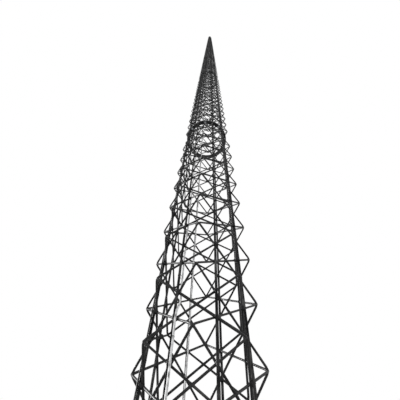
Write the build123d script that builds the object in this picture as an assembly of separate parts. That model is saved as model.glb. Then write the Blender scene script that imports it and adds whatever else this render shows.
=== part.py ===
"""Radio mast: a slender lattice tube of crossing diagonal bars around eight straight legs.

The mast is a 1:2 scale model. Lengths are in millimetres of the model, +Z is up, and the
origin is the centre of the base plate's underside.

Plan of one level: eight outer nodes lie on a circle, 45 degrees apart. From each node two
straight bars rise to the nodes 90 degrees to its left and right on the next level. The bars
therefore lie in the sides of two square tubes, one turned 45 degrees from the other. Seen
from above they make an eight-pointed star, and a straight leg nests in each of its valleys,
lying flat against the bars of both squares.

Towards a section's ends the bars stop where they meet the legs, so each bolted joint is a
short length of bare legs with two end rings between the last nodes of one section and the
first nodes of the next.
"""
import os
from math import atan2, cos, pi, radians, sin, tan

from build123d import *

# Scale and heights
MODEL_SCALE = 1 / 2
SECTION_LENGTH = 6000 * MODEL_SCALE
SECTIONS = 12
LEVEL_HEIGHT = 381 * MODEL_SCALE
LEVELS_PER_LATTICE = 7
FIRST_NODES = SECTION_LENGTH / 2 - LEVELS_PER_LATTICE * LEVEL_HEIGHT

# Lattice: one square tube of crossing bars, and its twin turned by half a quarter turn
NODE_RADIUS = 300 * MODEL_SCALE
SIDE_APOTHEM = NODE_RADIUS * cos(pi / 4)
BAR_WIDTH = 9.4 * MODEL_SCALE
BAR_DEPTH = 8 * MODEL_SCALE
SIDES_OF_SQUARE = 4
TWIN_TURN = 45.0

# Each side's bars stop below the first nodes, where they have met the legs
LEG_CROSSING_FRACTION = (1 + tan(radians(TWIN_TURN / 2))) / 2
BAR_END_DROP = LEG_CROSSING_FRACTION * LEVEL_HEIGHT + 6 * MODEL_SCALE

# Legs and the end rings that join the sections
LEG_COUNT = 8
LEG_SIDES = 8
LEG_ACROSS_FLATS = 15 * MODEL_SCALE
LEG_TURN = 22.5
LEG_RING_RADIUS = (SIDE_APOTHEM + BAR_DEPTH / 2 + LEG_ACROSS_FLATS / 2) / cos(radians(LEG_TURN))
RING_INNER_RADIUS = 220 * MODEL_SCALE
RING_OUTER_RADIUS = 264 * MODEL_SCALE
RING_THICKNESS = 14 * MODEL_SCALE

# Base plate, held down by anchor bolts
BASE_RADIUS = 390 * MODEL_SCALE
BASE_THICKNESS = 30 * MODEL_SCALE
ANCHOR_COUNT = 8
ANCHOR_CIRCLE_RADIUS = 350 * MODEL_SCALE
ANCHOR_HOLE_RADIUS = 14 * MODEL_SCALE

# Top plate, which carries what stands on the mast
TOP_RADIUS = 268 * MODEL_SCALE
TOP_THICKNESS = 20 * MODEL_SCALE
TOP_BOLT_COUNT = 4
TOP_BOLT_CIRCLE_RADIUS = 110 * MODEL_SCALE
TOP_BOLT_HOLE_RADIUS = 9 * MODEL_SCALE

PARTS_FOLDER = "parts"


def side_openings() -> list[Face]:
    """Openings of one side: a diamond about each level, cut short at the side's two ends."""
    slope_angle = atan2(LEVEL_HEIGHT, 2 * SIDE_APOTHEM)
    half_height = LEVEL_HEIGHT / 2 - BAR_WIDTH / 2 / cos(slope_angle)
    half_width = half_height / (LEVEL_HEIGHT / (2 * SIDE_APOTHEM))
    openings = []
    for level in range(-1, LEVELS_PER_LATTICE + 1):
        z = level * LEVEL_HEIGHT
        corners = [(half_width, z), (0, z + half_height), (-half_width, z), (0, z - half_height)]
        openings.append(make_face(Polyline(*corners, close=True)))
    return openings


def edge_notches() -> list[Face]:
    """Open triangles between one level's node and the next, along both edges of a side."""
    slope = LEVEL_HEIGHT / (2 * SIDE_APOTHEM)
    tip_offset = BAR_WIDTH / 2 / sin(atan2(LEVEL_HEIGHT, 2 * SIDE_APOTHEM))
    reach = SIDE_APOTHEM + BAR_DEPTH
    half_mouth = (reach - tip_offset) * slope
    notches = []
    for level in range(-1, LEVELS_PER_LATTICE):
        middle = (level + 0.5) * LEVEL_HEIGHT
        for sign in (-1, 1):
            corners = [
                (sign * tip_offset, middle),
                (sign * reach, middle + half_mouth),
                (sign * reach, middle - half_mouth),
            ]
            notches.append(make_face(Polyline(*corners, close=True)))
    return notches


def make_side() -> Part:
    """One side of a square lattice tube, standing at +X, its first nodes at height zero."""
    width = 2 * SIDE_APOTHEM + BAR_DEPTH
    top = LEVELS_PER_LATTICE * LEVEL_HEIGHT
    sheet = Pos(0, (top - BAR_END_DROP) / 2) * Rectangle(width, top + BAR_END_DROP)
    outline = sheet - side_openings() - edge_notches()
    upright = Plane(origin=(SIDE_APOTHEM, 0, 0), x_dir=(0, 1, 0), z_dir=(1, 0, 0))
    return extrude(upright * outline, amount=BAR_DEPTH / 2, both=True)


def make_leg_prism(length: float) -> Part:
    """One straight leg of few sides, an edge of it facing the mast's axis."""
    corner_radius = LEG_ACROSS_FLATS / 2 / cos(pi / LEG_SIDES)
    section = RegularPolygon(corner_radius, LEG_SIDES)
    return extrude(Pos(LEG_RING_RADIUS, 0) * section, amount=length)


def leg_prisms(length: float) -> list[Part]:
    """All the legs over a length, each between two neighbouring outer nodes."""
    prism = make_leg_prism(length)
    return [Rot(0, 0, LEG_TURN + 360 / LEG_COUNT * leg) * prism for leg in range(LEG_COUNT)]


def make_lattice() -> Part:
    """Lower half of a section's bracing: two square tubes, fused wherever their bars cross."""
    side = make_side()
    square = side
    for turn in range(1, SIDES_OF_SQUARE):
        square += Rot(0, 0, 360 / SIDES_OF_SQUARE * turn) * side
    return Pos(0, 0, FIRST_NODES) * (square + Rot(0, 0, TWIN_TURN) * square)


def make_ring() -> Part:
    """Flat end ring of a section, with its underside at the origin."""
    annulus = Circle(RING_OUTER_RADIUS) - Circle(RING_INNER_RADIUS)
    return extrude(annulus, amount=RING_THICKNESS)


def make_frame() -> Part:
    """Eight legs welded between the two end rings of a section."""
    frame = make_ring() + Pos(0, 0, SECTION_LENGTH - RING_THICKNESS) * make_ring()
    for leg in leg_prisms(SECTION_LENGTH):
        frame += leg
    return frame


def drilled_plate(radius: float, thickness: float, circle: float, hole: float, count: int) -> Part:
    """Round plate standing on the origin, with a circle of holes, the first one at +X."""
    outline = Circle(radius)
    for turn in range(count):
        outline -= Rot(0, 0, 360 / count * turn) * Pos(circle, 0) * Circle(hole)
    return extrude(outline, amount=thickness)


def make_base_plate() -> Part:
    """Base plate, whose underside rests on the foundation, with its circle of anchor holes."""
    return drilled_plate(
        BASE_RADIUS, BASE_THICKNESS, ANCHOR_CIRCLE_RADIUS, ANCHOR_HOLE_RADIUS, ANCHOR_COUNT
    )


def make_top_plate() -> Part:
    """Top plate, with a circle of bolt holes for whatever the mast carries."""
    return drilled_plate(
        TOP_RADIUS, TOP_THICKNESS, TOP_BOLT_CIRCLE_RADIUS, TOP_BOLT_HOLE_RADIUS, TOP_BOLT_COUNT
    )


def write_part(name: str, shape: Part) -> None:
    """Write one sub-part to its own file, without the surface curves that its edges repeat."""
    export_step(shape, os.path.join(PARTS_FOLDER, f"{name}.step"), write_pcurves=False)


def main() -> None:
    """Build each kind of piece once, and place it in every section."""
    os.makedirs(PARTS_FOLDER, exist_ok=True)
    write_part("base_plate", make_base_plate())
    lower = make_lattice()
    upper = Pos(0, 0, SECTION_LENGTH) * Rot(180, 0, 0) * lower
    frame = make_frame()
    for section in range(SECTIONS):
        foot = BASE_THICKNESS + section * SECTION_LENGTH
        number = f"{section + 1:02d}"
        write_part(f"frame_{number}", Pos(0, 0, foot) * frame)
        write_part(f"lattice_{number}_lower", Pos(0, 0, foot) * lower)
        write_part(f"lattice_{number}_upper", Pos(0, 0, foot) * upper)
    top = BASE_THICKNESS + SECTIONS * SECTION_LENGTH
    write_part("top_plate", Pos(0, 0, top) * make_top_plate())


main()
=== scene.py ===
"""Radio mast: the looks of a slender fibre-composite lattice mast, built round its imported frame.

Each sub-assembly is a class that takes its places from the frame, builds its own meshes and
dresses them. All lengths are metres of the 1:2 model, with +Z up the mast.
"""

import logging
from dataclasses import dataclass, field
from enum import Enum
from math import acos, ceil, cos, pi, radians, sin

import bpy
import numpy as np
from mathutils import Matrix, Vector


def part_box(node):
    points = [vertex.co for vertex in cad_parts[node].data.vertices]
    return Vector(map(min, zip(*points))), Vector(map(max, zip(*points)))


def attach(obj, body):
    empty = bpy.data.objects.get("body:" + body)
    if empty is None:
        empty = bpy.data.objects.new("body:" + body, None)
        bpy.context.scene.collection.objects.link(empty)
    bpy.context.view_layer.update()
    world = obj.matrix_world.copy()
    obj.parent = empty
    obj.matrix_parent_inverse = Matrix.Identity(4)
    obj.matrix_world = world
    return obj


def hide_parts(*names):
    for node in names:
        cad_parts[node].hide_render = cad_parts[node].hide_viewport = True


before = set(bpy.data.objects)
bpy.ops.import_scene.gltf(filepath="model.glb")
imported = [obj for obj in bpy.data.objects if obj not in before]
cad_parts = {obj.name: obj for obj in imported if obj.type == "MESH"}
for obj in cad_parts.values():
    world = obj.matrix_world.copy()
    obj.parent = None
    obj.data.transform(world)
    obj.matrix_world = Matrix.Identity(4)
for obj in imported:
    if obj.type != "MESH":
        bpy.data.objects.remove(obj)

LOG = logging.getLogger("radio_mast")
Array = np.ndarray
Colour = tuple[float, float, float]
Profile = tuple[tuple[float, float], ...]
Socket = bpy.types.NodeSocket

BODY = "root"
MM = 0.001
FULL_TURN = 2 * pi
EIGHTH_TURN = pi / 4
NODES_ROUND = 8
UP = np.array([0.0, 0.0, 1.0])
LEVEL_ONLY = np.array([1.0, 1.0, 0.0])

# Fractions of a bar, from its lower node up, where it meets other bars or a leg
LOWER_NODE, LOW_LEG, SIDE_MIDDLE, HIGH_LEG, UPPER_NODE = 0.0, 0.29289, 0.5, 0.70711, 1.0
MEETINGS = (LOWER_NODE, LOW_LEG, SIDE_MIDDLE, HIGH_LEG, UPPER_NODE)

# Two fractions of a bar closer than this count as one
NEARLY = 1e-6
# A turned shape with more sides than this is shaded as round
FEWEST_ROUND = 8
# Seeds that keep every small irregularity the same in each run
SEED_STEP, BINDING_SEED, CABLE_SEED = 10, 500, 77
# Size of an end cap in texture coordinates
CAP_WRAP = 2 * MM


# ---------------------------------------------------------------------------
# Named options
# ---------------------------------------------------------------------------
def stations_near_meetings(steps: tuple[float, ...]) -> tuple[float, ...]:
    """Fractions along a bar where it gets a ring of vertices.

    Args:
        steps: distances from a meeting, as fractions, that get a ring as well as the meeting.

    Returns:
        The fractions from 0 up to but without 1, in order.
    """
    offsets = {side * step for step in (0.0, *steps) for side in (-1, 1)}
    spots = {meeting + offset for meeting in MEETINGS for offset in offsets}
    return tuple(sorted(spot for spot in spots if 0 <= spot < 1 - NEARLY))


@dataclass(frozen=True)
class MeshDetail:
    """How finely the pieces of one section are meshed."""

    bar_sides: int
    bar_stations: tuple[float, ...]
    leg_sides: int
    leg_rings_per_level: int
    binding_sides: int
    binding_rings: int


class SectionDetail(Enum):
    """The mesh detail of a section, by how near it is to someone at the mast's foot."""

    NEAR = MeshDetail(10, stations_near_meetings((0.012, 0.03, 0.075)), 16, 8, 14, 11)
    MIDDLE = MeshDetail(8, stations_near_meetings((0.025,)), 12, 2, 8, 6)
    FAR = MeshDetail(6, stations_near_meetings(()), 8, 1, 6, 3)

    @classmethod
    def of_section(cls, number: int) -> MeshDetail:
        """The mesh detail of a section.

        Args:
            number: the section's number, from 1 at the foot.

        Returns:
            Its detail.
        """
        nearness = {1: cls.NEAR, 2: cls.MIDDLE}
        return nearness.get(number, cls.FAR).value


class Hand(Enum):
    """Which way round the mast a bar climbs."""

    LEFT = 1
    RIGHT = -1


class Facing(Enum):
    """Whether a turned shape stands up from its place or hangs down from it."""

    UP = 1
    DOWN = -1


# ---------------------------------------------------------------------------
# Places, all worked out from the frame
# ---------------------------------------------------------------------------
@dataclass(frozen=True)
class Section:
    """One bolted length of the mast."""

    number: int
    foot: float
    top: float

    @property
    def frame_node(self) -> str:
        """Name of the CAD node that holds the legs and end rings."""
        return f"frame_{self.number:02d}"

    @property
    def lattice_nodes(self) -> tuple[str, str]:
        """Names of the two CAD nodes that hold the bracing, from the bottom up."""
        return f"lattice_{self.number:02d}_lower", f"lattice_{self.number:02d}_upper"

    @property
    def middle(self) -> float:
        """Height of the section's middle, where the two halves of its bracing meet."""
        return (self.foot + self.top) / 2


@dataclass(frozen=True)
class MastLayout:
    """Where the mast's members run, worked out from the boxes of the CAD nodes."""

    sections: tuple[Section, ...]
    node_radius: float
    level_height: float
    ring_outer_radius: float
    leg_radius: float = 3.75 * MM
    bar_depth: float = 4.0 * MM
    bar_end: float = 3.0 * MM
    ring_thickness: float = 7 * MM
    levels_each_way: int = 7

    @classmethod
    def measure(cls) -> "MastLayout":
        """Read the places of the mast's members off the CAD nodes.

        Returns:
            The layout.
        """
        names = sorted(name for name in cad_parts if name.startswith("frame_"))
        boxes = [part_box(name) for name in names]
        sections = tuple(
            Section(number, low.z, high.z) for number, (low, high) in enumerate(boxes, start=1)
        )
        low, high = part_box(sections[0].lattice_nodes[0])
        return cls(
            sections=sections,
            node_radius=(high.x - low.x) / 2 - cls.bar_depth / 2 / cos(pi / 4),
            level_height=(high.z - low.z - cls.bar_end) / (cls.levels_each_way + HIGH_LEG),
            ring_outer_radius=(boxes[0][1].x - boxes[0][0].x) / 2,
        )

    @property
    def foot(self) -> float:
        """Height of the lowest section's foot, on the base plate."""
        return self.sections[0].foot

    @property
    def top(self) -> float:
        """Height of the highest section's top, under the top plate."""
        return self.sections[-1].top

    @property
    def side_apothem(self) -> float:
        """Distance from the mast's axis to the middle of a side of bars."""
        return self.node_radius * cos(pi / 4)

    @property
    def crossing_radius(self) -> float:
        """Distance from the axis to where bars of the two squares cross."""
        return self.side_apothem / cos(pi / 8)

    @property
    def leg_ring_radius(self) -> float:
        """Distance from the axis to a leg's centre."""
        return (self.side_apothem + self.bar_depth / 2 + self.leg_radius) / cos(pi / 8)

    @property
    def ring_inner_radius(self) -> float:
        """Inner radius of an end ring, whose leg circle lies in the middle of its width."""
        return 2 * self.leg_ring_radius - self.ring_outer_radius

    @property
    def leg_angles(self) -> Array:
        """Directions of the legs."""
        return EIGHTH_TURN * (np.arange(NODES_ROUND) + 0.5)

    @property
    def node_angles(self) -> Array:
        """Directions of the outer nodes."""
        return EIGHTH_TURN * np.arange(NODES_ROUND)

    def heights(self, section: Section, *fractions: float) -> Array:
        """Heights at fractions of every level of a section, its cut-off end levels included.

        Args:
            section: the section.
            fractions: parts of a level, from its lower nodes up.

        Returns:
            The heights, from the bottom up.
        """
        levels = np.arange(-self.levels_each_way - 1, self.levels_each_way + 1)
        spots = levels[:, None] + np.array(fractions)
        return section.middle + spots.ravel() * self.level_height


def round_points(radius: float, angles: Array, height: float) -> Array:
    """Points on a circle about the mast's axis.

    Args:
        radius: the circle's radius.
        angles: directions from the axis, in radians.
        height: the circle's height.

    Returns:
        The points, one row each.
    """
    level = np.full(len(angles), height)
    return np.stack([radius * np.cos(angles), radius * np.sin(angles), level], axis=-1)


def round_grid(radius: float, angles: Array, heights: Array) -> Array:
    """Points at every pairing of a direction and a height, one row each."""
    return np.concatenate([round_points(radius, angles, height) for height in heights])


# ---------------------------------------------------------------------------
# Mesh making
# ---------------------------------------------------------------------------
def unit(vectors: Array) -> Array:
    """Vectors scaled to length one, along the last axis."""
    return vectors / np.linalg.norm(vectors, axis=-1, keepdims=True)


def turns(sides: int) -> Array:
    """Directions of the corners of a regular shape, in radians."""
    return np.arange(sides) / sides * FULL_TURN


def distances(points: Array, closed: bool = False) -> Array:
    """How far along each line of points its points are.

    Args:
        points: lines by points by coordinates.
        closed: whether each line comes back to its start, which is then counted once more.

    Returns:
        Distances from each line's start, lines by points.
    """
    if closed:
        points = np.concatenate([points, points[:, :1]], axis=1)
    steps = np.linalg.norm(np.diff(points, axis=1), axis=-1)
    return np.concatenate([np.zeros((len(points), 1)), np.cumsum(steps, axis=1)], axis=1)


def spokes(across: Array, beside: Array, sides: int) -> Array:
    """Directions from a line to the corners of its cut face.

    Args:
        across: one direction across the line at each point.
        beside: another at right angles to it.
        sides: number of corners.

    Returns:
        The directions, lines by points by corners by three.
    """
    turn = turns(sides)[:, None]
    return across[:, :, None] * np.cos(turn) + beside[:, :, None] * np.sin(turn)


def ring_quads(number: Array) -> Array:
    """Faces between neighbouring closed rings of vertices.

    Args:
        number: vertex numbers, shapes by rings by sides.

    Returns:
        Vertex numbers of each face's corners, in the same order, with four at the end.
    """
    after = np.roll(number, -1, axis=2)
    return np.stack([number[:, :-1], after[:, :-1], after[:, 1:], number[:, 1:]], axis=-1)


def ring_wraps(lengths: Array, count: int, sides: int) -> Array:
    """Texture coordinates of faces between rings: turns around, and metres along.

    Args:
        lengths: distance along the shape of each ring, shapes by rings.
        count: number of shapes.
        sides: number of sides of a ring.

    Returns:
        Coordinates, shapes by ring gaps by sides by four corners by two.
    """
    shape = (count, lengths.shape[-1] - 1, sides)
    low = np.broadcast_to(lengths[:, :-1, None], shape)
    high = np.broadcast_to(lengths[:, 1:, None], shape)
    left = np.broadcast_to(np.arange(sides) / sides, shape)
    right = left + 1 / sides
    pairs = ((left, low), (right, low), (right, high), (left, high))
    return np.stack([np.stack(pair, axis=-1) for pair in pairs], axis=-2)


def turned(profile: Array, sides: int) -> Array:
    """A profile turned about the upright axis.

    Args:
        profile: radius and height of each ring.
        sides: number of sides of each ring.

    Returns:
        Vertex places, rings by sides by three.
    """
    turn = turns(sides)
    shape = np.empty((len(profile), sides, 3))
    shape[..., 0] = profile[:, :1] * np.cos(turn)
    shape[..., 1] = profile[:, :1] * np.sin(turn)
    shape[..., 2] = profile[:, 1:]
    return shape


@dataclass
class MeshDraft:
    """Vertices, faces and texture coordinates of one piece, gathered before it is made."""

    points: list[Array] = field(default_factory=list)
    loops: list[Array] = field(default_factory=list)
    totals: list[Array] = field(default_factory=list)
    wraps: list[Array] = field(default_factory=list)
    smooth: list[Array] = field(default_factory=list)
    count: int = 0

    def add_points(self, points: Array) -> Array:
        """Add vertices.

        Args:
            points: vertex places, shapes by rings by sides by three.

        Returns:
            The number of each vertex, shapes by rings by sides.
        """
        number = self.count + np.arange(points.size // 3).reshape(points.shape[:3])
        self.points.append(points.reshape(-1, 3))
        self.count += number.size
        return number

    def add_faces(self, faces: Array, wraps: Array, smooth: bool) -> None:
        """Add faces that all have the same number of corners.

        Args:
            faces: vertex numbers counted from the draft's first vertex, one row per face.
            wraps: texture coordinates of each corner.
            smooth: whether the faces are shaded as one rounded surface.
        """
        self.loops.append(faces.ravel())
        self.totals.append(np.full(len(faces), faces.shape[1]))
        self.wraps.append(wraps.reshape(-1, 2))
        self.smooth.append(np.full(len(faces), smooth))

    def add_shapes(self, points: Array, lengths: Array, smooth: bool = True) -> None:
        """Add closed shapes made of rings of vertices, with a flat cap at each end.

        Args:
            points: vertex places, shapes by rings by sides by three. The rings go round
                anticlockwise, seen from the last ring.
            lengths: distance along the shape of each ring, shapes by rings.
            smooth: whether the faces between the rings are shaded as rounded.
        """
        count, _, sides = points.shape[:3]
        number = self.add_points(points)
        self.add_faces(ring_quads(number).reshape(-1, 4), ring_wraps(lengths, count, sides), smooth)
        turn = turns(sides)
        cap = np.stack([np.cos(turn), np.sin(turn)], axis=-1) * CAP_WRAP
        caps = np.broadcast_to(cap, (count, sides, 2))
        self.add_faces(number[:, 0, ::-1], caps, smooth=False)
        self.add_faces(number[:, -1], caps, smooth=False)

    def add_hoops(self, points: Array, lengths: Array, smooth: bool) -> None:
        """Add closed shapes whose last ring of vertices joins their first.

        Args:
            points: vertex places, shapes by rings by sides by three.
            lengths: distance along the shape of each ring and of its return to the first.
            smooth: whether the faces are shaded as rounded.
        """
        count, _, sides = points.shape[:3]
        number = self.add_points(points)
        closed = np.concatenate([number, number[:, :1]], axis=1)
        self.add_faces(ring_quads(closed).reshape(-1, 4), ring_wraps(lengths, count, sides), smooth)

    def add_tubes(self, paths: Array, radii: Array, outward: Array) -> None:
        """Add closed tubes that follow paths.

        Args:
            paths: centre lines, tubes by rings by three.
            radii: distance of each vertex from the centre line, tubes by rings by sides.
            outward: a direction across each ring, tubes by rings by three.
        """
        along = unit(np.gradient(paths, axis=1))
        across = unit(outward - (outward * along).sum(-1, keepdims=True) * along)
        ways = spokes(across, np.cross(along, across), radii.shape[2])
        self.add_shapes(paths[:, :, None] + ways * radii[..., None], distances(paths))

    def add_ties(self, paths: Array, radius: float, axes: Array, sides: int) -> None:
        """Add thin closed hoops of thread or strip.

        Args:
            paths: centre lines that come back to their start, hoops by points by three.
            radius: half the thickness of a hoop.
            axes: direction across the plane of each hoop, hoops by three.
            sides: number of sides of the hoop's cut face.
        """
        along = unit(np.roll(paths, -1, axis=1) - np.roll(paths, 1, axis=1))
        above = np.broadcast_to(unit(axes)[:, None], paths.shape)
        ways = spokes(np.cross(along, above), above, sides)
        lengths = distances(paths, closed=True)
        self.add_hoops(paths[:, :, None] + ways * radius, lengths, smooth=True)

    def add_lathes(
        self, profile: Array, places: Array, sides: int, facing: Facing = Facing.UP
    ) -> None:
        """Add closed turned shapes with upright axes.

        Args:
            profile: radius and height of each ring, from the shape's foot on.
            places: the foot of each shape, one row each.
            sides: number of sides of each ring.
            facing: whether the shapes stand or hang.
        """
        rings = profile * (1, facing.value)
        rings = rings if facing is Facing.UP else rings[::-1]
        shape = turned(rings, sides)
        lengths = np.broadcast_to(distances(profile[None]), (len(places), len(profile)))
        self.add_shapes(places[:, None, None] + shape, lengths, smooth=sides > FEWEST_ROUND)

    def add_flat_rings(self, outline: Array, feet: Array, sides: int) -> None:
        """Add flat rings about the mast's axis.

        Args:
            outline: radius and height of the ring's cut face, anticlockwise.
            feet: height of each ring's foot.
            sides: number of sides of the ring.
        """
        points = turned(outline, sides) + feet[:, None, None, None] * UP
        lengths = distances(outline[None], closed=True)
        lengths = np.broadcast_to(lengths, (len(feet), lengths.shape[1]))
        self.add_hoops(points, lengths, smooth=False)

    def make(self, name: str, material: bpy.types.Material) -> bpy.types.Object:
        """Turn the draft into an object.

        Args:
            name: the piece's name.
            material: its finish.

        Returns:
            The new object, linked to the scene.
        """
        loops, totals = np.concatenate(self.loops), np.concatenate(self.totals)
        mesh = bpy.data.meshes.new(name)
        mesh.vertices.add(self.count)
        mesh.vertices.foreach_set("co", np.concatenate(self.points).astype(np.float32).ravel())
        mesh.loops.add(len(loops))
        mesh.loops.foreach_set("vertex_index", loops.astype(np.int32))
        mesh.polygons.add(len(totals))
        starts = np.cumsum(totals) - totals
        mesh.polygons.foreach_set("loop_start", starts.astype(np.int32))
        mesh.update(calc_edges=True)
        mesh.polygons.foreach_set("use_smooth", np.concatenate(self.smooth))
        layer = mesh.uv_layers.new(name="UVMap")
        layer.data.foreach_set("uv", np.concatenate(self.wraps).astype(np.float32).ravel())
        mesh.validate()
        mesh.materials.append(material)
        piece = bpy.data.objects.new(name, mesh)
        bpy.context.scene.collection.objects.link(piece)
        return piece


def place(piece: bpy.types.Object, slot: str, *nodes: str) -> None:
    """Fix a piece to the mast and hide the CAD nodes it stands for.

    Args:
        piece: the new piece.
        slot: the record's material slot; not used.
        nodes: the CAD nodes that the piece replaces.
    """
    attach(piece, BODY)
    if nodes:
        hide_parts(*nodes)
    LOG.info("%s: %d faces", piece.name, len(piece.data.polygons))


# ---------------------------------------------------------------------------
# Finishes
# ---------------------------------------------------------------------------
LICHEN: Colour = (0.12, 0.12, 0.117)
SOOT: Colour = (0.012, 0.012, 0.013)
DUST: Colour = (0.05, 0.05, 0.048)


@dataclass(frozen=True)
class Cloud:
    """A cloudy pattern: how many lumps to a unit of length, and how much finer detail in them."""

    scale: float
    detail: float


@dataclass(frozen=True)
class Spread:
    """A value that changes evenly from one number to another while its cause does the same."""

    low: float
    high: float
    start: float = 0.0
    end: float = 1.0


@dataclass
class Graph:
    """A material's node tree, with short ways to add to it."""

    material: bpy.types.Material

    @classmethod
    def start(cls, name: str) -> "Graph":
        """Make a new material that has an output and one shader.

        Args:
            name: the material's name.

        Returns:
            Its node tree.
        """
        material = bpy.data.materials.new(name)
        material.use_nodes = True
        return cls(material)

    @property
    def shader(self) -> bpy.types.Node:
        """The shader that every material here ends in."""
        return self.material.node_tree.nodes["Principled BSDF"]

    def add(self, kind: str, **settings: object) -> bpy.types.Node:
        """Add a node.

        Args:
            kind: the node's type.
            settings: its settings by name.

        Returns:
            The node.
        """
        node = self.material.node_tree.nodes.new(kind)
        for key, value in settings.items():
            setattr(node, key, value)
        return node

    def put(self, node: bpy.types.Node, socket: str | int, value: object) -> None:
        """Set a node's input, or join it to another node's socket.

        Args:
            node: the node.
            socket: the input's name or place.
            value: a plain value or the other node's socket.
        """
        if isinstance(value, Socket):
            self.material.node_tree.links.new(value, node.inputs[socket])
        else:
            node.inputs[socket].default_value = value

    def coat(self, **inputs: object) -> None:
        """Set or join the shader's inputs, whose names have _ for a space."""
        for socket, value in inputs.items():
            self.put(self.shader, socket.replace("_", " "), value)

    def on_mast(self) -> Socket:
        """Coordinates in metres of the mast."""
        return self.add("ShaderNodeTexCoord").outputs["Object"]

    def on_member(self, around: float, along: float) -> Socket:
        """Coordinates that wrap a member.

        Args:
            around: how many units a turn round the member counts.
            along: how many units a metre along it counts.

        Returns:
            The coordinates.
        """
        node = self.add("ShaderNodeMapping")
        self.put(node, "Vector", self.add("ShaderNodeUVMap", uv_map="UVMap").outputs["UV"])
        self.put(node, "Scale", (around, along, 1.0))
        return node.outputs["Vector"]

    def noise(self, vector: Socket, cloud: Cloud) -> Socket:
        """Cloudy values about one half.

        Args:
            vector: the coordinates.
            cloud: the size and detail of the lumps.

        Returns:
            The values.
        """
        node = self.add("ShaderNodeTexNoise")
        self.put(node, "Vector", vector)
        self.put(node, "Scale", cloud.scale)
        self.put(node, "Detail", cloud.detail)
        return node.outputs["Fac"]

    def crystals(self, vector: Socket, scale: float) -> bpy.types.Node:
        """Cells with a shade each, as in a zinc coat.

        Args:
            vector: the coordinates.
            scale: how many cells lie along a unit of length.

        Returns:
            The node, whose outputs are each cell's shade and the distance from its middle.
        """
        node = self.add("ShaderNodeTexVoronoi")
        self.put(node, "Vector", vector)
        self.put(node, "Scale", scale)
        return node

    def winding(self, pitch: float, starts: int, wobble: float) -> Socket:
        """Ridges that wind round a member, as a wound tow or thread leaves.

        Args:
            pitch: distance along the member from one ridge to the next.
            starts: how many ridges wind side by side.
            wobble: how uneven the ridges are.

        Returns:
            The height of the ridges, from 0 to 1.
        """
        node = self.add("ShaderNodeTexWave", wave_type="BANDS", bands_direction="DIAGONAL")
        self.put(node, "Vector", self.on_member(starts * pitch, 1.0))
        self.put(node, "Scale", FULL_TURN / pitch / 10)
        self.put(node, "Distortion", wobble)
        return node.outputs["Fac"]

    def ramp(self, fac: Socket, *stops: tuple[float, Colour]) -> Socket:
        """Colours that change from stop to stop.

        Args:
            fac: the value that picks the colour.
            stops: a position and a colour each.

        Returns:
            The colour.
        """
        node = self.add("ShaderNodeValToRGB")
        self.put(node, "Fac", fac)
        elements = node.color_ramp.elements
        while len(elements) < len(stops):
            elements.new(0.5)
        for element, (position, colour) in zip(elements, stops):
            element.position = position
            element.color = (*colour, 1.0)
        return node.outputs["Color"]

    def span(self, fac: Socket, spread: Spread) -> Socket:
        """A value spread between two numbers.

        Args:
            fac: the value that it follows.
            spread: the numbers.

        Returns:
            The spread value.
        """
        node = self.add("ShaderNodeMapRange")
        self.put(node, "Value", fac)
        self.put(node, "From Min", spread.start)
        self.put(node, "From Max", spread.end)
        self.put(node, "To Min", spread.low)
        self.put(node, "To Max", spread.high)
        return node.outputs["Result"]

    def blend(self, first: Socket, second: Socket, share: float) -> Socket:
        """Two values in fixed shares.

        Args:
            first: one value.
            second: the other.
            share: the first one's share of the whole.

        Returns:
            The sum of both.
        """
        node = self.add("ShaderNodeMath", operation="ADD")
        self.put(node, 0, self.span(first, Spread(0.0, share)))
        self.put(node, 1, self.span(second, Spread(0.0, 1.0 - share)))
        return node.outputs[0]

    def duller_at_glance(self, roughness: Socket, glance: Spread) -> Socket:
        """Roughness that rises where a surface is seen at a glance, as wound fibre's does.

        Args:
            roughness: the roughness seen square on.
            glance: the least roughness, from square on at 0 to edge on at 1.

        Returns:
            The roughness.
        """
        facing = self.add("ShaderNodeLayerWeight").outputs["Facing"]
        node = self.add("ShaderNodeMath", operation="MAXIMUM")
        self.put(node, 0, roughness)
        self.put(node, 1, self.span(facing, glance))
        return node.outputs[0]

    def relief(self, height: Socket, distance: float) -> None:
        """Raise and lower the surface.

        Args:
            height: how high it is, from 0 to 1.
            distance: how far 1 is.
        """
        node = self.add("ShaderNodeBump")
        self.put(node, "Height", height)
        self.put(node, "Distance", distance)
        self.coat(Normal=node.outputs["Normal"])


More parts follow.
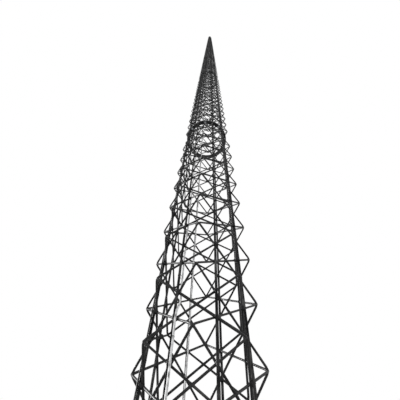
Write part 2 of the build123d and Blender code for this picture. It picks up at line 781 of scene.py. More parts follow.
@dataclass(frozen=True)
class CompositeFinish:
    """Dark fibre and resin: wound tows under a worn gloss, with pale chalk in small patches."""

    name: str
    resin: Colour = (0.005, 0.005, 0.0055)
    worn: Colour = (0.016, 0.016, 0.0165)
    chalk: Colour = (0.07, 0.07, 0.068)
    resin_end: float = 0.42
    chalk_start: float = 0.66
    chalk_edge: float = 0.1
    wear_edge: float = 0.08
    patch_share: float = 0.75
    gloss: float = 0.22
    roughness: Spread = Spread(0.14, 0.46, 0.35, 0.65)
    glance: Spread = Spread(0.0, 1.0, 0.4, 0.85)
    patches: Cloud = Cloud(16.0, 7.0)
    specks: Cloud = Cloud(230.0, 3.0)
    fibres: Cloud = Cloud(1.0, 4.0)
    fibres_round: float = 36.0
    fibres_per_metre: float = 40.0
    tow_pitch: float = 7 * MM
    tows: int = 2
    tow_wobble: float = 1.5
    tow_height: float = 0.3 * MM
    tow_share: float = 0.6
    speck_share: float = 0.5

    def make(self) -> bpy.types.Material:
        """Build the material.

        Returns:
            The material.
        """
        graph = Graph.start(self.name)
        mast = graph.on_mast()
        patches = graph.noise(mast, self.patches)
        specks = graph.noise(mast, self.specks)
        wrapped = graph.on_member(self.fibres_round, self.fibres_per_metre)
        fibres = graph.noise(wrapped, self.fibres)
        tows = graph.winding(self.tow_pitch, self.tows, self.tow_wobble)
        colour = graph.ramp(
            graph.blend(patches, fibres, self.patch_share),
            (self.resin_end, self.resin),
            (self.chalk_start - self.wear_edge, self.worn),
            (self.chalk_start + self.chalk_edge, self.chalk),
        )
        roughness = graph.span(graph.blend(specks, fibres, self.speck_share), self.roughness)
        graph.coat(
            Base_Color=colour,
            Roughness=graph.duller_at_glance(roughness, self.glance),
            Specular_IOR_Level=self.gloss,
        )
        graph.relief(graph.blend(tows, specks, self.tow_share), self.tow_height)
        return graph.material


@dataclass(frozen=True)
class PaintedShadeSteelFinish:
    """Steel coloured near black as painted shade, for the shade the end rings are seen in from
    below, with a fine orange-peel skin and dust in patches.
    """

    name: str
    # Painted shade: this near-black colour stands in for the shade under the end rings.
    painted_shade: Colour = (0.008, 0.008, 0.009)
    dust: Colour = (0.03, 0.03, 0.028)
    painted_shade_end: float = 0.46
    dust_start: float = 0.7
    gloss: float = 0.2
    roughness: Spread = Spread(0.28, 0.5, 0.35, 0.65)
    patches: Cloud = Cloud(32.0, 7.0)
    peel: Cloud = Cloud(900.0, 2.0)
    peel_height: float = 0.06 * MM

    def make(self) -> bpy.types.Material:
        """Build the material.

        Returns:
            The material.
        """
        graph = Graph.start(self.name)
        mast = graph.on_mast()
        dust = graph.noise(mast, self.patches)
        graph.coat(
            Base_Color=graph.ramp(dust, (self.painted_shade_end, self.painted_shade), (self.dust_start, self.dust)),
            Roughness=graph.span(dust, self.roughness),
            Specular_IOR_Level=self.gloss,
        )
        graph.relief(graph.noise(mast, self.peel), self.peel_height)
        return graph.material


@dataclass(frozen=True)
class ZincFinish:
    """Hot-dip zinc on steel: grey crystals of slightly different shades, dulled by weather."""

    name: str
    bright: Colour = (0.34, 0.35, 0.36)
    dull: Colour = (0.17, 0.175, 0.18)
    dull_end: float = 0.3
    bright_start: float = 0.68
    crystal_share: float = 0.4
    crystals_per_metre: float = 90.0
    weather: Cloud = Cloud(11.0, 7.0)
    roughness: Spread = Spread(0.62, 0.34, 0.3, 0.7)
    metal: float = 0.8
    crystal_height: float = 0.04 * MM

    def make(self) -> bpy.types.Material:
        """Build the material.

        Returns:
            The material.
        """
        graph = Graph.start(self.name)
        mast = graph.on_mast()
        crystals = graph.crystals(mast, self.crystals_per_metre)
        weather = graph.noise(mast, self.weather)
        shade = graph.blend(crystals.outputs["Color"], weather, self.crystal_share)
        colour = graph.ramp(shade, (self.dull_end, self.dull), (self.bright_start, self.bright))
        graph.coat(
            Base_Color=colour,
            Roughness=graph.span(shade, self.roughness),
            Metallic=self.metal,
        )
        graph.relief(crystals.outputs["Distance"], self.crystal_height)
        return graph.material


@dataclass(frozen=True)
class SheathFinish:
    """Cable sheath with streaks of dirt and a faint twist of strands, pale by default."""

    name: str
    clean: Colour = (0.76, 0.765, 0.77)
    dirty: Colour = (0.16, 0.16, 0.157)
    dirt_end: float = 0.38
    clean_start: float = 0.52
    streak_share: float = 0.55
    gloss: float = 0.4
    roughness: Spread = Spread(0.6, 0.25, 0.35, 0.65)
    streaks: Cloud = Cloud(1.0, 5.0)
    streaks_round: float = 5.0
    streaks_per_metre: float = 30.0
    spots: Cloud = Cloud(90.0, 4.0)
    strands: int = 3
    strand_pitch: float = 14 * MM
    strand_height: float = 0.15 * MM

    def make(self) -> bpy.types.Material:
        """Build the material.

        Returns:
            The material.
        """
        graph = Graph.start(self.name)
        wrapped = graph.on_member(self.streaks_round, self.streaks_per_metre)
        streaks = graph.noise(wrapped, self.streaks)
        spots = graph.noise(graph.on_mast(), self.spots)
        dirt = graph.blend(streaks, spots, self.streak_share)
        colour = graph.ramp(dirt, (self.dirt_end, self.dirty), (self.clean_start, self.clean))
        graph.coat(
            Base_Color=colour,
            Roughness=graph.span(dirt, self.roughness),
            Specular_IOR_Level=self.gloss,
        )
        graph.relief(graph.winding(self.strand_pitch, self.strands, 0.0), self.strand_height)
        return graph.material


@dataclass(frozen=True)
class FloorFinish:
    """Pale, slightly uneven studio floor."""

    name: str
    pale: Colour = (0.8, 0.8, 0.795)
    paler: Colour = (0.83, 0.83, 0.83)
    pale_end: float = 0.35
    paler_start: float = 0.65
    unevenness: Cloud = Cloud(14.0, 5.0)
    roughness: float = 0.9

    def make(self) -> bpy.types.Material:
        """Build the material.

        Returns:
            The material.
        """
        graph = Graph.start(self.name)
        cloud = graph.noise(graph.on_mast(), self.unevenness)
        colour = graph.ramp(cloud, (self.pale_end, self.pale), (self.paler_start, self.paler))
        graph.coat(Base_Color=colour, Roughness=self.roughness)
        return graph.material


@dataclass(frozen=True)
class Finishes:
    """Every finish of the mast, made once."""

    bracing: bpy.types.Material
    leg: bpy.types.Material
    binding: bpy.types.Material
    ring: bpy.types.Material
    plate: bpy.types.Material
    bolt: bpy.types.Material
    sheath: bpy.types.Material
    feeder: bpy.types.Material

    @classmethod
    def make(cls) -> "Finishes":
        """Make them all.

        Returns:
            The finishes.
        """
        rod = CompositeFinish(
            "leg_composite", tow_pitch=12 * MM, tows=3, chalk=LICHEN, chalk_start=0.6, gloss=0.03
        )
        thread = CompositeFinish("binding_thread", tow_pitch=1.6 * MM, tows=1, tow_height=0.35 * MM)
        return cls(
            bracing=CompositeFinish("bracing_composite").make(),
            leg=rod.make(),
            binding=thread.make(),
            # The end rings and their sockets get the near-black painted shade.
            ring=PaintedShadeSteelFinish("ring_painted_shade").make(),
            plate=ZincFinish("plate_zinc").make(),
            bolt=ZincFinish("bolt_zinc", crystals_per_metre=600.0).make(),
            sheath=SheathFinish("cable_sheath").make(),
            feeder=SheathFinish("feeder_sheath", SOOT, DUST, gloss=0.15).make(),
        )


# ---------------------------------------------------------------------------
# Sub-assemblies
# ---------------------------------------------------------------------------
@dataclass
class Bracing:
    """Round diagonal bars of a section, climbing round the mast both ways."""

    layout: MastLayout
    finishes: Finishes
    bar_radius: float = 2.8 * MM
    bend_reach: float = 11 * MM
    bend_depth: float = 2.9 * MM
    swelling: float = 0.13
    swelling_reach: float = 7 * MM
    crookedness: float = 0.35 * MM
    bow_shares: tuple[float, float, float] = (1, 1, 0.4)
    thickness_spread: float = 0.05

    def radii(self, steps: Array, length: float) -> Array:
        """A bar's radius along its length, thicker where its tows mix with another bar's.

        Args:
            steps: fractions along the bar.
            length: the bar's length from node to node.

        Returns:
            The radius at each fraction.
        """
        gaps = (steps[:, None] - np.array(MEETINGS)) * length / self.swelling_reach
        return self.bar_radius * (1 + self.swelling * np.exp(-(gaps**2)).sum(axis=1))

    def bar(
        self, low: Array, high: Array, steps: Array, draw: np.random.Generator
    ) -> tuple[Array, Array]:
        """One bar from node to node, bent inwards at both and slightly crooked.

        Args:
            low: the lower node.
            high: the upper node.
            steps: fractions along the bar that get a ring of vertices.
            draw: the source of small irregularities.

        Returns:
            The bar's centre line and its radii.
        """
        length = np.linalg.norm(high - low)
        line = low + (high - low) * steps[:, None]
        for node, gap in ((low, steps * length), (high, (1 - steps) * length)):
            inward = -node * LEVEL_ONLY / np.linalg.norm(node[:2])
            pull = self.bend_depth * np.clip(1 - gap / self.bend_reach, 0, 1) ** 2
            line = line + inward * pull[:, None]
        bow = draw.normal(0, self.crookedness, 3) * self.bow_shares
        line = line + bow * np.sin(pi * steps)[:, None]
        return line, self.radii(steps, length) * (1 + draw.normal(0, self.thickness_spread))

    def strand(
        self,
        start_angle: float,
        hand: Hand,
        levels: Array,
        section: Section,
        stations: Array,
        draw: np.random.Generator,
    ) -> tuple[Array, Array]:
        """A run of bars through half a section, stopping at the leg it meets beyond the last nodes.

        Args:
            start_angle: direction of the strand's node at the section's middle.
            hand: which way round it climbs.
            levels: levels of its nodes, counted from the section's middle.
            section: the section.
            stations: fractions along a bar that get a ring of vertices.
            draw: the source of small irregularities.

        Returns:
            The strand's centre line and its radii.
        """
        layout = self.layout
        angles = start_angle + hand.value * levels * FULL_TURN / 4
        nodes = round_points(layout.node_radius, angles, section.middle)
        nodes[:, 2] += levels * layout.level_height
        beyond = layout.bar_end / layout.level_height
        lines, radii = [], []
        for index, (low, high) in enumerate(zip(nodes[:-1], nodes[1:])):
            steps = stations
            if levels[index] < -layout.levels_each_way:
                steps = np.concatenate([[LOW_LEG - beyond], steps[steps >= LOW_LEG - NEARLY]])
            if levels[index] >= layout.levels_each_way:
                steps = np.concatenate([steps[steps <= HIGH_LEG + NEARLY], [HIGH_LEG + beyond]])
            elif index == len(nodes) - 2:
                steps = np.concatenate([steps, [UPPER_NODE]])
            line, radius = self.bar(low, high, steps, draw)
            lines.append(line)
            radii.append(radius)
        return np.concatenate(lines), np.concatenate(radii)

    def build(self, section: Section) -> None:
        """Build both halves of a section's bracing.

        Args:
            section: the section.
        """
        detail = SectionDetail.of_section(section.number)
        reach = self.layout.levels_each_way + 1
        stations = np.array(detail.bar_stations)
        for half, levels in enumerate((np.arange(-reach, 1), np.arange(0, reach + 1))):
            draw = np.random.default_rng(section.number * SEED_STEP + half)
            strands = [
                self.strand(angle, hand, levels, section, stations, draw)
                for hand in Hand
                for angle in self.layout.node_angles
            ]
            lines = np.stack([line for line, _ in strands])
            radii = np.stack([radius for _, radius in strands])
            draft = MeshDraft()
            rings = np.broadcast_to(radii[..., None], (*radii.shape, detail.bar_sides))
            draft.add_tubes(lines, rings, lines * LEVEL_ONLY)
            name = f"bracing_{section.number:02d}_{('lower', 'upper')[half]}"
            place(draft.make(name, self.finishes.bracing), "bracing", section.lattice_nodes[half])


@dataclass(frozen=True)
class BindingSize:
    """Half sizes of one kind of binding."""

    outward: float
    sideways: float
    upward: float


@dataclass
class Bindings:
    """Thread bindings, soaked in resin, where bars meet each other or a leg."""

    layout: MastLayout
    finishes: Finishes
    at_node: BindingSize = BindingSize(3.4 * MM, 5.0 * MM, 4.4 * MM)
    at_leg: BindingSize = BindingSize(7.4 * MM, 4.5 * MM, 6.2 * MM)
    at_side: BindingSize = BindingSize(3.2 * MM, 4.2 * MM, 3.9 * MM)
    node_inset: float = 3 * MM
    boxiness: float = 2.4
    end_tilt: float = 0.24
    ridge_count: int = 7
    ridge_height: float = 0.05
    size_spread: float = 0.1

    def lump(self, detail: MeshDetail) -> Array:
        """A rounded lump of unit half sizes with slanting ridges.

        Args:
            detail: how finely it is meshed.

        Returns:
            Its vertices, rings by sides by three.
        """
        tilt = np.linspace(self.end_tilt, pi - self.end_tilt, detail.binding_rings)[:, None]
        turn = turns(detail.binding_sides)
        ways = [np.sin(tilt) * np.cos(turn), np.sin(tilt) * np.sin(turn), -np.cos(tilt) + 0 * turn]
        directions = np.stack(ways, axis=-1)
        reach = (np.abs(directions) ** self.boxiness).sum(-1) ** (-1 / self.boxiness)
        ridges = 1 + self.ridge_height * np.cos(self.ridge_count * tilt * 2 + 2 * turn)
        return directions * (reach * ridges)[..., None]

    def add(
        self,
        draft: MeshDraft,
        lump: Array,
        size: BindingSize,
        centres: Array,
        draw: np.random.Generator,
    ) -> None:
        """Add one binding at each centre, turned to face outwards.

        Args:
            draft: where the bindings go.
            lump: the unit shape.
            size: the half sizes.
            centres: where the bindings sit, one row each.
            draw: the source of small irregularities.
        """
        outward = unit(centres * LEVEL_ONLY)
        upward = np.broadcast_to(UP, outward.shape)
        axes = np.stack([outward, np.cross(UP, outward), upward], axis=1)
        spread = 1 + draw.normal(0, self.size_spread, (len(centres), 3))
        axes = axes * (spread * (size.outward, size.sideways, size.upward))[..., None]
        points = centres[:, None, None] + np.einsum("rsk,nkj->nrsj", lump, axes)
        lengths = np.linspace(0, 2 * size.upward, len(lump))
        draft.add_shapes(points, np.broadcast_to(lengths, (len(centres), len(lump))))

    def build(self, section: Section) -> None:
        """Build every binding of a section.

        Args:
            section: the section.
        """
        layout = self.layout
        lump = self.lump(SectionDetail.of_section(section.number))
        draw = np.random.default_rng(BINDING_SEED + section.number)
        draft = MeshDraft()
        nodes, legs = layout.node_angles, layout.leg_angles
        between = (layout.crossing_radius + layout.leg_ring_radius) / 2
        at_nodes = layout.heights(section, LOWER_NODE)[1:]
        at_legs = layout.heights(section, LOW_LEG, HIGH_LEG)
        at_sides = layout.heights(section, SIDE_MIDDLE)
        rows = (
            (self.at_node, round_grid(layout.node_radius - self.node_inset, nodes, at_nodes)),
            (self.at_leg, round_grid(between, legs, at_legs)),
            (self.at_side, round_grid(layout.side_apothem, nodes, at_sides)),
        )
        for size, centres in rows:
            self.add(draft, lump, size, centres, draw)
        place(draft.make(f"bindings_{section.number:02d}", self.finishes.binding), "bracing")


@dataclass
class Legs:
    """The eight straight rods of a section."""

    layout: MastLayout
    finishes: Finishes
    radius: float = 3.4 * MM
    twist_pitch: float = 34 * MM
    twist_depth: float = 0.03

    def build(self, section: Section) -> None:
        """Build the rods of a section, from ring to ring.

        Args:
            section: the section.
        """
        layout = self.layout
        detail = SectionDetail.of_section(section.number)
        rings = 2 * (layout.levels_each_way + 1) * detail.leg_rings_per_level + 1
        margin = layout.ring_thickness / 2
        heights = np.linspace(section.foot + margin, section.top - margin, rings)
        columns = round_grid(layout.leg_ring_radius, layout.leg_angles, heights)
        paths = columns.reshape(rings, NODES_ROUND, 3).swapaxes(0, 1)
        phase = heights[:, None] / self.twist_pitch * FULL_TURN + 2 * turns(detail.leg_sides)
        radii = self.radius * (1 + self.twist_depth * np.cos(phase))
        radii = np.broadcast_to(radii, (NODES_ROUND, *radii.shape))
        draft = MeshDraft()
        draft.add_tubes(paths, radii, paths * LEVEL_ONLY)
        piece = draft.make(f"legs_{section.number:02d}", self.finishes.leg)
        place(piece, "leg", section.frame_node)


@dataclass
class EndRings:
    """Flat end rings of a section, with the sockets that grip the legs."""

    layout: MastLayout
    finishes: Finishes
    broken_edge: float = 0.8 * MM
    socket_radius: float = 6.4 * MM
    socket_height: float = 16 * MM
    weld: Profile = ((2.2 * MM, 0), (0.8 * MM, 0.9 * MM), (0, 2.4 * MM))
    mouth: Profile = ((0, -4 * MM), (-0.5 * MM, -2.5 * MM))
    lip_radius: float = 4.8 * MM
    ring_sides: int = 72
    socket_sides: int = 16

    def outline(self) -> Array:
        """Outline of a ring's cut face, with its edges broken.

        Returns:
            Radius and height of each corner.
        """
        edge, thick = self.broken_edge, self.layout.ring_thickness
        inner, outer = self.layout.ring_inner_radius, self.layout.ring_outer_radius
        return np.array(
            [
                (inner, thick - edge),
                (inner + edge, thick),
                (outer - edge, thick),
                (outer, thick - edge),
                (outer, edge),
                (outer - edge, 0),
                (inner + edge, 0),
                (inner, edge),
            ]
        )

    def socket(self) -> Array:
        """Profile of a socket, from its weld on the ring to its lip round the leg.

        Returns:
            Radius and height of each ring of vertices.
        """
        weld = np.array([self.socket_radius, 0]) + self.weld
        mouth = np.array([self.socket_radius, self.socket_height]) + self.mouth
        return np.concatenate([weld, mouth, [(self.lip_radius, self.socket_height)]])

    def build(self, section: Section) -> None:
        """Build both rings of a section and their sockets.

        Args:
            section: the section.
        """
        layout, draft = self.layout, MeshDraft()
        thick = layout.ring_thickness
        feet = np.array([section.foot, section.top - thick])
        draft.add_flat_rings(self.outline(), feet, self.ring_sides)
        for facing, height in (
            (Facing.UP, section.foot + thick),
            (Facing.DOWN, section.top - thick),
        ):
            seats = round_points(layout.leg_ring_radius, layout.leg_angles, height)
            draft.add_lathes(self.socket(), seats, self.socket_sides, facing)
        name = f"end_rings_{section.number:02d}"
        place(draft.make(name, self.finishes.ring), "leg", section.frame_node)


@dataclass(frozen=True)
class BoltSize:
    """Sizes of one kind of bolt."""

    corner_radius: float
    head_height: float
    washer_radius: float
    washer_height: float
    shank_radius: float
    thread_pitch: float = 1.3 * MM


def chamfered(wide: float, tall: float, edge: float) -> Array:
    """Profile of a flat turned shape with its edges cut off.

    Args:
        wide: the shape's radius.
        tall: its height.
        edge: how much is cut off each way.

    Returns:
        Radius and height of each ring of vertices.
    """
    return np.array([(wide - edge, 0), (wide, edge), (wide, tall - edge), (wide - edge, tall)])


@dataclass
class Fasteners:
    """Bolts through the end rings, anchor bolts at the foot and bolts at the top."""

    layout: MastLayout
    finishes: Finishes
    ring_bolt: BoltSize = BoltSize(7.2 * MM, 5.2 * MM, 8.2 * MM, 1.3 * MM, 4.0 * MM)
    anchor: BoltSize = BoltSize(10.6 * MM, 9.5 * MM, 13.5 * MM, 2.4 * MM, 5.8 * MM, 1.8 * MM)
    anchor_circle: float = 175 * MM
    anchor_rise: float = 34 * MM
    bolt_tail: float = 4 * MM
    thread_overlap: float = 0.5 * MM
    chamfer_share: float = 0.14
    flat_share: float = 0.9
    root_share: float = 0.88
    tip_share: float = 0.8
    washer_sides: int = 16
    shank_sides: int = 12

    def add_nut(self, draft: MeshDraft, size: BoltSize, feet: Array, facing: Facing) -> None:
        """Add a washer and a chamfered six-sided nut or head at each foot.

        Args:
            draft: where they go.
            size: the bolt's sizes.
            feet: where the washers sit, one row each.
            facing: which side of that surface they are on.
        """
        washer = chamfered(size.washer_radius, size.washer_height, size.washer_height / 4)
        draft.add_lathes(washer, feet, self.washer_sides, facing)
        corner, tall = size.corner_radius, size.head_height
        cut, slim = tall * self.chamfer_share, corner * self.flat_share
        nut = np.array([(slim, 0), (corner, cut), (corner, tall - cut), (slim, tall)])
        draft.add_lathes(nut, feet + UP * size.washer_height * facing.value, 6, facing)

    def add_thread(
        self, draft: MeshDraft, size: BoltSize, feet: Array, length: float, facing: Facing
    ) -> None:
        """Add threaded shanks with a chamfered end.

        Args:
            draft: where they go.
            size: the bolt's sizes.
            feet: where they start, one row each.
            length: how far they go.
            facing: which way they point.
        """
        wide = size.shank_radius
        turns_up = max(2, ceil(length / size.thread_pitch))
        steps = []
        for turn in range(turns_up):
            steps.append((wide * self.root_share, turn * length / turns_up))
            steps.append((wide, (turn + 0.5) * length / turns_up))
        steps.append((wide * self.tip_share, length))
        draft.add_lathes(np.array(steps), feet, self.shank_sides, facing)

    def build_joints(self) -> None:
        """Bolts through each pair of end rings, head above and nut below."""
        layout, size = self.layout, self.ring_bolt
        draft = MeshDraft()
        for section in layout.sections[1:]:
            seat = round_points(layout.leg_ring_radius, layout.node_angles, section.foot)
            above, below = seat + UP * layout.ring_thickness, seat - UP * layout.ring_thickness
            self.add_nut(draft, size, above, Facing.UP)
            self.add_nut(draft, size, below, Facing.DOWN)
            nut_face = below - UP * (size.washer_height + size.head_height - self.thread_overlap)
            self.add_thread(draft, size, nut_face, self.bolt_tail, Facing.DOWN)
        place(draft.make("joint_bolts", self.finishes.bolt), "plate")

    def build_foot(self) -> None:
        """Anchor bolts with two nuts each, and the bolts of the lowest ring."""
        layout, size = self.layout, self.anchor
        draft = MeshDraft()
        ground = round_points(self.anchor_circle, layout.node_angles, 0.0)
        self.add_thread(draft, size, ground, layout.foot + self.anchor_rise, Facing.UP)
        seat = ground + UP * layout.foot
        lock_nut = seat + UP * (size.washer_height + size.head_height)
        for feet in (seat, lock_nut):
            self.add_nut(draft, size, feet, Facing.UP)
        ring_top = layout.foot + layout.ring_thickness
        ring_seat = round_points(layout.leg_ring_radius, layout.node_angles, ring_top)
        self.add_nut(draft, self.ring_bolt, ring_seat, Facing.UP)
        place(draft.make("foot_bolts", self.finishes.bolt), "plate")

    def build_top(self) -> None:
        """Bolts that hold the top plate on the highest ring, seen from below."""
        layout = self.layout
        draft = MeshDraft()
        height = layout.top - layout.ring_thickness
        under = round_points(layout.leg_ring_radius, layout.node_angles, height)
        self.add_nut(draft, self.ring_bolt, under, Facing.DOWN)
        place(draft.make("top_bolts", self.finishes.bolt), "plate")


class JointSide(Enum):
    """Which edge of the end rings a cable passes."""

    OUTSIDE = 1
    INSIDE = -1


class Sheath(Enum):
    """Kinds of cable sheath."""

    PALE = "riser_cables"
    DARK = "feeder_cable"


@dataclass(frozen=True)
class CableSeat:
    """Where a cable lies beside its leg: how far round from outward, and how far off."""

    turn: float
    reach: float


@dataclass(frozen=True)
class CableRun:
    """One cable: its leg, its seats below and above the crossover, and how it passes a joint."""

    leg: int
    below: CableSeat
    above: CableSeat
    passes_joints: JointSide
    radius: float
    sheath: Sheath


AGAINST_LEG = CableSeat(radians(60), 6.1 * MM)
BEHIND_BARS = CableSeat(radians(172), 11.9 * MM)
ON_LEG_FACE = CableSeat(radians(-6), 5.5 * MM)


@dataclass
class RiserCables:
    """Thin cables tied up the mast, each along a leg: two pale ones and a dark one."""

    layout: MastLayout
    finishes: Finishes
    runs: tuple[CableRun, ...] = (
        CableRun(5, AGAINST_LEG, BEHIND_BARS, JointSide.INSIDE, 2.4 * MM, Sheath.PALE),
        CableRun(2, BEHIND_BARS, BEHIND_BARS, JointSide.INSIDE, 2.4 * MM, Sheath.PALE),
        CableRun(4, ON_LEG_FACE, ON_LEG_FACE, JointSide.OUTSIDE, 1.9 * MM, Sheath.DARK),
    )
    leg_radius: float = Legs.radius
    crossover_level: float = -0.5
    crossover_reach: float = 34 * MM
    joint_gap: float = 0.8 * MM
    joint_reach: float = 30 * MM
    sway_length: float = 85 * MM
    wander: float = 0.35 * MM
    wander_rates: tuple[float, float, float] = (23.0, 37.0, 61.0)
    top_stop: float = 60 * MM
    near_rings_per_level: int = 8
    far_rings_per_level: int = 4
    cable_sides: int = 8
    tie_thickness: float = 0.55 * MM
    tie_sides: int = 4
    leg_arc_points: int = 9
    cable_arc_points: int = 6
    seal_wall: float = 3.4 * MM
    seal_waist: float = 0.82
    cap_wall: float = 0.4 * MM
    fitting_sides: int = 12

    def seats(self, run: CableRun, heights: Array) -> tuple[Array, Array, Array]:
        """Where a cable lies beside its leg.

        Args:
            run: the cable's run.
            heights: heights where that is wanted.

        Returns:
            The leg's outward direction, the direction from leg to cable at each height, and
            the distance between their middles at each height.
        """
        angle = self.layout.leg_angles[run.leg]
        crossover = self.layout.sections[0].middle + self.crossover_level * self.layout.level_height
        rise = np.clip((heights - crossover) / self.crossover_reach, -1, 1) / 2 + 0.5
        beside = angle + run.below.turn + rise * (run.above.turn - run.below.turn)
        ways = np.stack([np.cos(beside), np.sin(beside), 0 * beside], axis=-1)
        reach = run.below.reach + rise * (run.above.reach - run.below.reach)
        return np.array([cos(angle), sin(angle), 0.0]), ways, reach

    def line(self, run: CableRun, heights: Array, draw: np.random.Generator) -> Array:
        """Centre line of a cable: along its leg, and round the edge of each pair of end rings.

        Args:
            run: the cable's run.
            heights: heights of the line's points.
            draw: the source of small irregularities.

        Returns:
            The points, one row each.
        """
        layout = self.layout
        outward, ways, reach = self.seats(run, heights)
        edges = {
            JointSide.OUTSIDE: layout.ring_outer_radius,
            JointSide.INSIDE: layout.ring_inner_radius,
        }
        side = run.passes_joints
        radial = edges[side] + side.value * (self.joint_gap + run.radius)
        joints = np.array([section.foot for section in layout.sections])
        away = np.abs(heights[:, None] - joints).min(axis=1)
        ease = np.clip((away - self.joint_reach) / self.sway_length, 0, 1)
        ease = (ease * ease * (3 - 2 * ease))[:, None]
        line = (outward * layout.leg_ring_radius + ways * reach[:, None]) * ease
        line = line + outward * radial * (1 - ease) + UP * heights[:, None]
        phases = draw.uniform(0, FULL_TURN, len(self.wander_rates))
        turned_by = heights[:, None] * self.wander_rates + phases
        waves = np.sin(turned_by).sum(axis=1, keepdims=True)
        return line + np.cross(UP, outward) * waves * self.wander * ease

    def belts(self, run: CableRun, heights: Array) -> Array:
        """Hoops pulled tight round a leg and its cable.

        Args:
            run: the cable's run.
            heights: one height for each hoop.

        Returns:
            Points, hoops by points by three.
        """
        leg = self.leg_radius + self.tie_thickness / 2
        cable = run.radius + self.tie_thickness / 2
        outward, ways, reach = self.seats(run, heights)
        across = np.cross(UP, ways)
        open_angle = np.arccos((leg - cable) / reach)[:, None]
        leg_share = np.linspace(0, 1, self.leg_arc_points)
        leg_arc = open_angle + leg_share * (FULL_TURN - 2 * open_angle)
        cable_arc = open_angle * np.linspace(-1, 1, self.cable_arc_points)
        along = np.concatenate(
            [leg * np.cos(leg_arc), reach[:, None] + cable * np.cos(cable_arc)], axis=1
        )
        aside = np.concatenate([leg * np.sin(leg_arc), cable * np.sin(cable_arc)], axis=1)
        hoops = ways[:, None] * along[..., None] + across[:, None] * aside[..., None]
        return outward * self.layout.leg_ring_radius + hoops + UP * heights[:, None, None]

    def add_ends(self, fittings: MeshDraft, run: CableRun, line: Array) -> None:
        """Add a cable's seal in the base plate and its end cap.

        Args:
            fittings: where they go.
            run: the cable's run.
            line: the cable's centre line.
        """
        wide, slim = run.radius + self.seal_wall, run.radius + self.cap_wall
        waist = wide * self.seal_waist
        seal = [(wide, 0), (wide, 6 * MM), (waist, 6.8 * MM), (waist, 12 * MM), (slim, 16 * MM)]
        fittings.add_lathes(np.array(seal), line[:1], self.fitting_sides)
        cap = [(slim, -6 * MM), (slim, 1.2 * MM), (slim * 0.7, 2.2 * MM)]
        fittings.add_lathes(np.array(cap), line[-1:], self.fitting_sides)

    def heights(self, end: float) -> Array:
        """Heights of the cables' points, closer together in the first section.

        Args:
            end: height of the last point.

        Returns:
            The heights, lowest first.
        """
        layout = self.layout
        first_joint = layout.sections[0].top
        near = np.arange(layout.foot, first_joint, layout.level_height / self.near_rings_per_level)
        far = np.arange(first_joint, end, layout.level_height / self.far_rings_per_level)
        return np.concatenate([near, far, [end]])

    def build(self) -> None:
        """Build the cables, their seals in the base plate, their end caps and their ties."""
        layout = self.layout
        draw = np.random.default_rng(CABLE_SEED)
        end = layout.top - self.top_stop
        heights = self.heights(end)
        levels = [layout.heights(section, LOWER_NODE)[1:] for section in layout.sections]
        tied = np.concatenate(levels)
        tied = tied[tied < end]
        drafts = {sheath: MeshDraft() for sheath in Sheath}
        fittings = MeshDraft()
        for run in self.runs:
            line = self.line(run, heights, draw)
            radii = np.full((1, len(heights), self.cable_sides), run.radius)
            drafts[run.sheath].add_tubes(line[None], radii, line[None] * LEVEL_ONLY)
            self.add_ends(fittings, run, line)
            upward = np.broadcast_to(UP, (len(tied), 3))
            fittings.add_ties(self.belts(run, tied), self.tie_thickness, upward, self.tie_sides)
        finishes = {Sheath.PALE: self.finishes.sheath, Sheath.DARK: self.finishes.feeder}
        for sheath, draft in drafts.items():
            place(draft.make(sheath.value, finishes[sheath]), "plate")
        # The cable fittings share the end rings' finish, including its near-black painted shade.
        place(fittings.make("cable_fittings", self.finishes.ring), "plate")


@dataclass
class Plates:
    """The base plate and top plate, which keep their CAD shapes and get their finish."""

    finishes: Finishes
    nodes: tuple[str, ...] = ("base_plate", "top_plate")

    def dress(self) -> None:
        """Give the plates their zinc."""
        for name in self.nodes:
            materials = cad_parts[name].data.materials
            materials.clear()
            materials.append(self.finishes.plate)
            LOG.info("%s: dressed", name)


# ---------------------------------------------------------------------------
# Setting
# ---------------------------------------------------------------------------
def towards(azimuth: float, elevation: float) -> Vector:
    """A direction of length one.

    Args:
        azimuth: degrees round from +X.
        elevation: degrees above the horizon.

    Returns:
        The direction.
    """
    turn, tilt = radians(azimuth), radians(elevation)
    return Vector((cos(tilt) * cos(turn), cos(tilt) * sin(turn), sin(tilt)))


@dataclass(frozen=True)
class SoftLamp:
    """A distant round lamp."""

    name: str
    azimuth: float
    elevation: float
    strength: float
    width: float
    distance: float = 10.0

    def build(self) -> None:
        """Hang the lamp."""
        data = bpy.data.lights.new(self.name, "SUN")
        data.energy = self.strength
        data.angle = radians(self.width)
        lamp = bpy.data.objects.new(self.name, data)
        direction = towards(self.azimuth, self.elevation)
        lamp.rotation_mode = "QUATERNION"
        lamp.rotation_quaternion = direction.to_track_quat("Z", "Y")
        lamp.location = direction * self.distance
        bpy.context.scene.collection.objects.link(lamp)


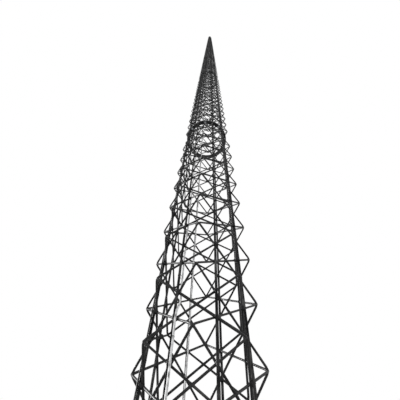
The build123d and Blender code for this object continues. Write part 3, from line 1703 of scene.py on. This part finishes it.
@dataclass(frozen=True)
class Studio:
    """Floor, sky and lamps."""

    floor_radius: float = 900.0
    floor_sides: int = 96
    sky_light: float = 0.62
    lamps: tuple[SoftLamp, ...] = (
        SoftLamp("key_lamp", 165.0, 30.0, 2.5, 12.0),
        SoftLamp("fill_lamp", -50.0, 25.0, 0.4, 60.0),
    )

    def lay_floor(self) -> None:
        """A wide round pale floor under the base plate."""
        rim = round_points(self.floor_radius, turns(self.floor_sides), 0.0)
        mesh = bpy.data.meshes.new("floor")
        mesh.from_pydata(rim.tolist(), [], [tuple(range(self.floor_sides))])
        mesh.materials.append(FloorFinish("floor_pale").make())
        floor = bpy.data.objects.new("floor", mesh)
        bpy.context.scene.collection.objects.link(floor)

    def make_sky(self) -> None:
        """A plain world, white wherever it is seen or mirrored and softer as a light."""
        world = bpy.data.worlds.new("sky")
        world.use_nodes = True
        bpy.context.scene.world = world
        nodes, links = world.node_tree.nodes, world.node_tree.links
        path = nodes.new("ShaderNodeLightPath")
        seen = path.outputs["Is Camera Ray"]
        for ray in ("Is Glossy Ray", "Is Transmission Ray"):
            either = nodes.new("ShaderNodeMath")
            either.operation = "MAXIMUM"
            links.new(seen, either.inputs[0])
            links.new(path.outputs[ray], either.inputs[1])
            seen = either.outputs[0]
        strength = nodes.new("ShaderNodeMapRange")
        strength.inputs["To Min"].default_value = self.sky_light
        links.new(seen, strength.inputs["Value"])
        background = nodes["Background"]
        background.inputs["Color"].default_value = (1.0, 1.0, 1.0, 1.0)
        links.new(strength.outputs["Result"], background.inputs["Strength"])

    def build(self) -> None:
        """Build the floor, the sky and the lamps."""
        self.lay_floor()
        self.make_sky()
        for lamp in self.lamps:
            lamp.build()
        bpy.context.scene.view_settings.view_transform = "Standard"


@dataclass(frozen=True)
class Viewpoint:
    """A camera near the foot of the mast that looks steeply up along it."""

    layout: MastLayout
    lens: float = 29.135
    away_in_radii: float = 4.3833
    azimuth: float = -83.99
    below_middle_in_radii: float = 4.2511
    heading: float = 98.0
    tilt_up: float = 61.945
    roll: float = radians(3.58)
    shift: tuple[float, float] = (0.002, 0.006)
    clip: tuple[float, float] = (0.01, 2000.0)

    def build(self) -> None:
        """Make the camera and set it as the scene's own."""
        radius = self.layout.node_radius
        eye = towards(self.azimuth, 0) * self.away_in_radii * radius
        eye.z = self.layout.sections[0].middle - self.below_middle_in_radii * radius
        forward = towards(self.heading, self.tilt_up)
        level = forward.cross(Vector((0, 0, 1))).normalized()
        overhead = level.cross(forward)
        right = level * cos(self.roll) + overhead * sin(self.roll)
        upright = overhead * cos(self.roll) - level * sin(self.roll)
        data = bpy.data.cameras.new("viewpoint")
        data.lens = self.lens
        data.clip_start, data.clip_end = self.clip
        data.shift_x, data.shift_y = self.shift
        camera = bpy.data.objects.new("viewpoint", data)
        turned = Matrix((right, upright, -forward)).transposed()
        camera.matrix_world = Matrix.Translation(eye) @ turned.to_4x4()
        bpy.context.scene.collection.objects.link(camera)
        bpy.context.scene.camera = camera


def main() -> None:
    """Build the mast and its setting, one sub-assembly after another."""
    logging.basicConfig(level=logging.INFO, format="%(name)s: %(message)s")
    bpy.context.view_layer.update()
    layout = MastLayout.measure()
    finishes = Finishes.make()
    Viewpoint(layout).build()
    Studio().build()
    Plates(finishes).dress()
    for section in layout.sections:
        Bracing(layout, finishes).build(section)
        Bindings(layout, finishes).build(section)
        Legs(layout, finishes).build(section)
        EndRings(layout, finishes).build(section)
    fasteners = Fasteners(layout, finishes)
    fasteners.build_joints()
    fasteners.build_foot()
    fasteners.build_top()
    RiserCables(layout, finishes).build()


if __name__ == "__main__":
    main()
